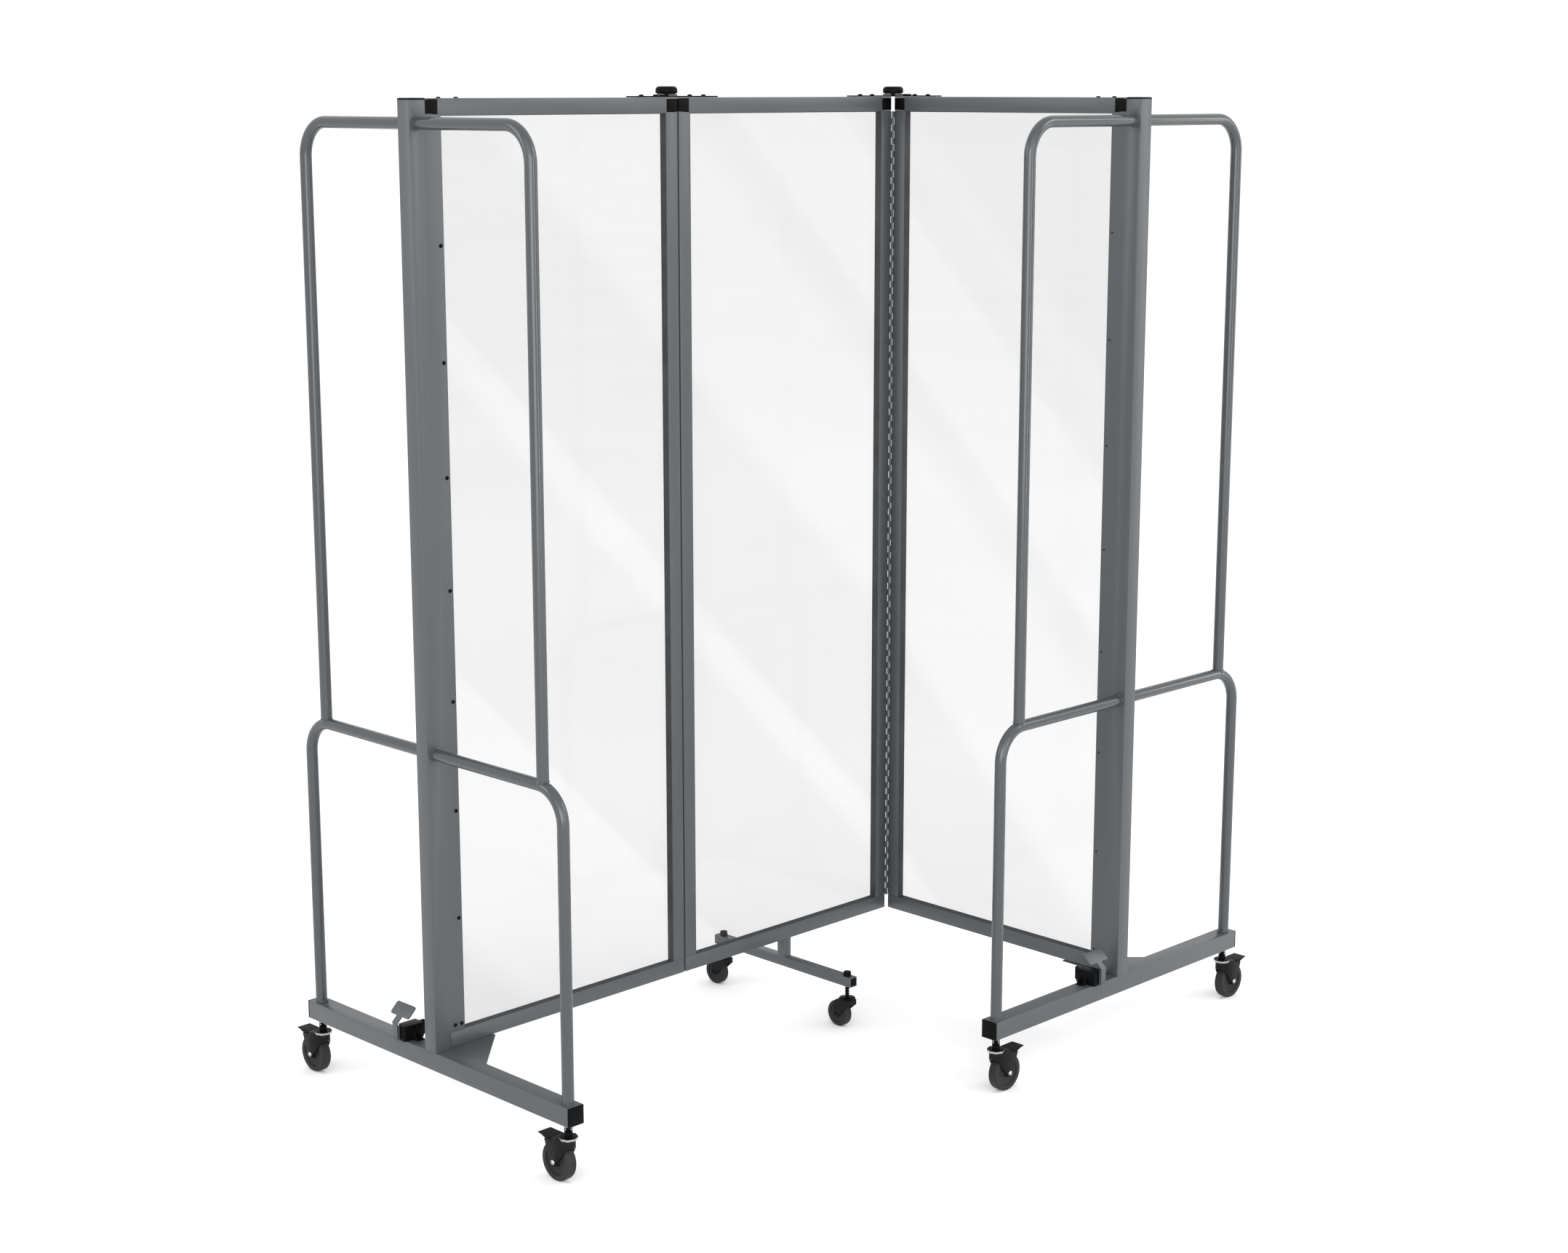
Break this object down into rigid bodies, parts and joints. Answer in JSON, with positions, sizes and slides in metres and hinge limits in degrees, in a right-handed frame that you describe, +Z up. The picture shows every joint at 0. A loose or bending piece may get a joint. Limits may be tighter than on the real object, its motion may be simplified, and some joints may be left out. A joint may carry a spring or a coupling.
{
  "type": "folding room divider screen on casters",
  "caption": "Folding divider screen with clear panes in grey metal frames, hinged panels with friction knobs, guard hoops and foot latches on end frames, and braked swivel casters.",
  "frame": {"origin": "on the floor, under the centre of the box round the whole screen as it stands with its right panel folded forward", "axes": "+X along the left and middle panels from left to right, +Y from front to back, +Z up"},
  "size_m": [1.6146, 1.0464, 1.8153],
  "materials": {
    "slate_paint": "satin slate-grey powder coat",
    "clear_acrylic": "clear polished acrylic sheet",
    "black_plastic": "black moulded plastic",
    "black_metal": "black satin-coated steel",
    "bright_steel": "bright zinc-plated steel",
    "wheel_rubber": "dark grey rubber tread on a moulded core"
  },
  "bodies": {
    "middle_panel": {"middle_panel_frame": "slate_paint", "middle_panel_pane": "clear_acrylic", "middle_panel_left_corner_block": "black_plastic", "middle_panel_right_corner_block": "black_plastic", "middle_foot": "slate_paint", "middle_front_caster_stem": "black_metal", "middle_back_caster_stem": "black_metal", "left_hinge_inner_leaf": "slate_paint", "left_hinge_inner_top_plate": "black_metal", "right_hinge_inner_leaf": "slate_paint", "right_hinge_inner_top_plate": "black_metal"},
    "left_panel": {"left_panel_frame": "slate_paint", "left_panel_pane": "clear_acrylic", "left_panel_left_corner_block": "black_plastic", "left_panel_right_corner_block": "black_plastic", "left_hinge_outer_leaf": "slate_paint", "left_hinge_outer_top_plate": "black_metal", "left_end_post": "slate_paint", "left_base_beam": "slate_paint", "left_beam_front_cap": "black_plastic", "left_beam_back_cap": "black_plastic", "left_guard_hoops": "slate_paint", "left_latch_housing": "black_plastic", "left_front_caster_stem": "black_metal", "left_back_caster_stem": "black_metal"},
    "right_panel": {"right_panel_frame": "slate_paint", "right_panel_pane": "clear_acrylic", "right_panel_left_corner_block": "black_plastic", "right_panel_right_corner_block": "black_plastic", "right_hinge_outer_leaf": "slate_paint", "right_hinge_outer_top_plate": "black_metal", "right_end_post": "slate_paint", "right_base_beam": "slate_paint", "right_beam_front_cap": "black_plastic", "right_beam_back_cap": "black_plastic", "right_guard_hoops": "slate_paint", "right_latch_housing": "black_plastic", "right_front_caster_stem": "black_metal", "right_back_caster_stem": "black_metal"},
    "left_fold_knob": {"left_fold_knob": "black_plastic"},
    "left_pedal": {"left_latch_pedal": "slate_paint"},
    "right_fold_knob": {"right_fold_knob": "black_plastic"},
    "right_pedal": {"right_latch_pedal": "slate_paint"},
    "left_front_caster_fork": {"left_front_caster_fork": "black_metal"},
    "left_front_caster_wheel": {"left_front_caster_wheel": "wheel_rubber"},
    "left_front_caster_brake": {"left_front_caster_brake_lever": "black_metal"},
    "left_back_caster_fork": {"left_back_caster_fork": "black_metal"},
    "left_back_caster_wheel": {"left_back_caster_wheel": "wheel_rubber"},
    "left_back_caster_brake": {"left_back_caster_brake_lever": "black_metal"},
    "right_front_caster_fork": {"right_front_caster_fork": "black_metal"},
    "right_front_caster_wheel": {"right_front_caster_wheel": "wheel_rubber"},
    "right_front_caster_brake": {"right_front_caster_brake_lever": "black_metal"},
    "right_back_caster_fork": {"right_back_caster_fork": "black_metal"},
    "right_back_caster_wheel": {"right_back_caster_wheel": "wheel_rubber"},
    "right_back_caster_brake": {"right_back_caster_brake_lever": "black_metal"},
    "middle_front_caster_fork": {"middle_front_caster_fork": "black_metal"},
    "middle_front_caster_wheel": {"middle_front_caster_wheel": "wheel_rubber"},
    "middle_back_caster_fork": {"middle_back_caster_fork": "black_metal"},
    "middle_back_caster_wheel": {"middle_back_caster_wheel": "wheel_rubber"}
  },
  "joints": [
    {"name": "left_panel_fold", "type": "hinge", "parent": "middle_panel", "child": "left_panel", "pos_m": [-0.19386, 0.12324, 0.97], "axis": [0, 0, 1], "range_deg": [-135, 0]},
    {"name": "left_knob_turn", "type": "hinge", "parent": "middle_panel", "child": "left_fold_knob", "pos_m": [-0.19386, 0.12324, 1.8], "axis": [0, 0, 1], "range_deg": [-180, 180]},
    {"name": "left_pedal_press", "type": "hinge", "parent": "left_panel", "child": "left_pedal", "pos_m": [-0.79836, 0.18774, 0.1487], "axis": [0, 1, 0], "range_deg": [-25, 0], "stiffness_Nm_per_rad": 1, "springref_deg": 8.59},
    {"name": "right_panel_fold", "type": "hinge", "parent": "middle_panel", "child": "right_panel", "pos_m": [0.37434, 0.09024, 0.97], "axis": [0, 0, 1], "range_deg": [-45, 90]},
    {"name": "right_knob_turn", "type": "hinge", "parent": "middle_panel", "child": "right_fold_knob", "pos_m": [0.37434, 0.09024, 1.8], "axis": [0, 0, 1], "range_deg": [-180, 180]},
    {"name": "right_pedal_press", "type": "hinge", "parent": "right_panel", "child": "right_pedal", "pos_m": [0.30984, -0.51426, 0.1487], "axis": [1, 0, 0], "range_deg": [0, 25], "stiffness_Nm_per_rad": 1, "springref_deg": -8.59},
    {"name": "left_front_caster_swivel", "type": "hinge", "parent": "left_panel", "child": "left_front_caster_fork", "pos_m": [-0.77816, -0.24606, 0.1097], "axis": [0, 0, 1], "continuous": true},
    {"name": "left_front_caster_wheel_turn", "type": "hinge", "parent": "left_front_caster_fork", "child": "left_front_caster_wheel", "pos_m": [-0.77816, -0.22106, 0.035], "axis": [1, 0, 0], "continuous": true},
    {"name": "left_front_caster_brake_press", "type": "hinge", "parent": "left_front_caster_fork", "child": "left_front_caster_brake", "pos_m": [-0.77816, -0.21636, 0.0751], "axis": [1, 0, 0], "range_deg": [-12, 0]},
    {"name": "left_back_caster_swivel", "type": "hinge", "parent": "left_panel", "child": "left_back_caster_fork", "pos_m": [-0.77816, 0.45954, 0.1097], "axis": [0, 0, 1], "continuous": true},
    {"name": "left_back_caster_wheel_turn", "type": "hinge", "parent": "left_back_caster_fork", "child": "left_back_caster_wheel", "pos_m": [-0.77816, 0.48454, 0.035], "axis": [1, 0, 0], "continuous": true},
    {"name": "left_back_caster_brake_press", "type": "hinge", "parent": "left_back_caster_fork", "child": "left_back_caster_brake", "pos_m": [-0.77816, 0.48924, 0.0751], "axis": [1, 0, 0], "range_deg": [-12, 0]},
    {"name": "right_front_caster_swivel", "type": "hinge", "parent": "right_panel", "child": "right_front_caster_fork", "pos_m": [0.03804, -0.49406, 0.1097], "axis": [0, 0, 1], "continuous": true},
    {"name": "right_front_caster_wheel_turn", "type": "hinge", "parent": "right_front_caster_fork", "child": "right_front_caster_wheel", "pos_m": [0.06304, -0.49406, 0.035], "axis": [0, -1, 0], "continuous": true},
    {"name": "right_front_caster_brake_press", "type": "hinge", "parent": "right_front_caster_fork", "child": "right_front_caster_brake", "pos_m": [0.06774, -0.49406, 0.0751], "axis": [0, -1, 0], "range_deg": [-12, 0]},
    {"name": "right_back_caster_swivel", "type": "hinge", "parent": "right_panel", "child": "right_back_caster_fork", "pos_m": [0.74364, -0.49406, 0.1097], "axis": [0, 0, 1], "continuous": true},
    {"name": "right_back_caster_wheel_turn", "type": "hinge", "parent": "right_back_caster_fork", "child": "right_back_caster_wheel", "pos_m": [0.76864, -0.49406, 0.035], "axis": [0, -1, 0], "continuous": true},
    {"name": "right_back_caster_brake_press", "type": "hinge", "parent": "right_back_caster_fork", "child": "right_back_caster_brake", "pos_m": [0.77334, -0.49406, 0.0751], "axis": [0, -1, 0], "range_deg": [-12, 0]},
    {"name": "middle_front_caster_swivel", "type": "hinge", "parent": "middle_panel", "child": "middle_front_caster_fork", "pos_m": [0.09024, -0.06826, 0.0877], "axis": [0, 0, 1], "continuous": true},
    {"name": "middle_front_caster_wheel_turn", "type": "hinge", "parent": "middle_front_caster_fork", "child": "middle_front_caster_wheel", "pos_m": [0.09024, -0.04826, 0.026], "axis": [1, 0, 0], "continuous": true},
    {"name": "middle_back_caster_swivel", "type": "hinge", "parent": "middle_panel", "child": "middle_back_caster_fork", "pos_m": [0.09024, 0.28174, 0.0877], "axis": [0, 0, 1], "continuous": true},
    {"name": "middle_back_caster_wheel_turn", "type": "hinge", "parent": "middle_back_caster_fork", "child": "middle_back_caster_wheel", "pos_m": [0.09024, 0.30174, 0.026], "axis": [1, 0, 0], "continuous": true}
  ]
}
